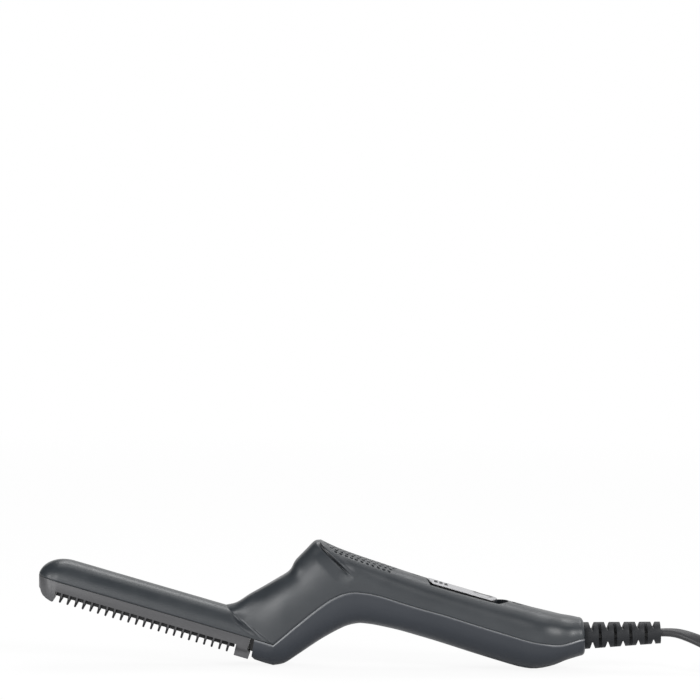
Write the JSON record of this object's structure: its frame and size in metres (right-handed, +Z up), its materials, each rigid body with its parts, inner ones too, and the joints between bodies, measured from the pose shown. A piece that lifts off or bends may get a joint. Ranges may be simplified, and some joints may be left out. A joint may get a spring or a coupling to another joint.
{
  "type": "heated hair and beard comb",
  "caption": "Corded heated comb with an angled handle, rows of teeth on a heated plate, a guard, a slide switch on top and a flat mains lead with a plug.",
  "frame": {"origin": "centre of the comb's box in X and Y, on the surface that it lies on", "axes": "+X from the barrel's tip to the strain relief and the lead, +Z up, with the comb lying teeth down on its nose and the belly of its handle"},
  "size_m": [0.5248, 0.044, 0.058],
  "materials": {
    "casing": "satin charcoal",
    "guard": "satin grey",
    "plate": "black non-stick coating",
    "ceramic": "pale ceramic and mica",
    "film": "amber film",
    "steel": "plain",
    "dark_plastic": "black moulded",
    "pale_plastic": "off-white moulded",
    "pale_wire": "glass-sleeved wire",
    "dark_wire": "insulated wire",
    "board": "green laminate",
    "silver_plastic": "satin silver",
    "yellow_plastic": "moulded box",
    "blue_paint": "lacquered",
    "lead": "matt black",
    "relief": "matt black",
    "tie": "woven strap",
    "plug": "matt black",
    "pin_metal": "nickel plated"
  },
  "bodies": {
    "comb": {"upper_shell": "casing", "lower_shell": "casing", "comb_guard": "guard", "comb_plate": "plate", "ptc_heater": "ceramic", "heater_film": "film", "heater_spring": "steel", "heater_holder": "dark_plastic", "thermal_fuse": "steel", "thermistor": "dark_plastic", "heat_barrier": "ceramic", "heater_wires": "pale_wire", "sensor_wires": "dark_wire", "circuit_board": "board", "board_screws": "steel", "slide_switch": "dark_plastic", "slider_guide": "dark_plastic", "capacitor": "yellow_plastic", "triac": "dark_plastic", "resistors": "blue_paint", "control_chip": "dark_plastic", "case_screws": "steel", "mains_wires": "dark_wire", "lead_sheath": "lead", "strain_relief": "relief", "mains_cord": "lead", "cord_hank": "lead", "cord_tie": "tie", "cord_tail": "lead", "plug_body": "plug", "pin_sleeves": "plug", "plug_pins": "pin_metal"},
    "slider": {"power_slider": "silver_plastic", "switch_lever": "pale_plastic"}
  },
  "joints": [
    {"name": "switch_slide", "type": "slide", "parent": "comb", "child": "slider", "axis": [0.9637, 0, -0.2669], "range_m": [0, 0.005]}
  ]
}
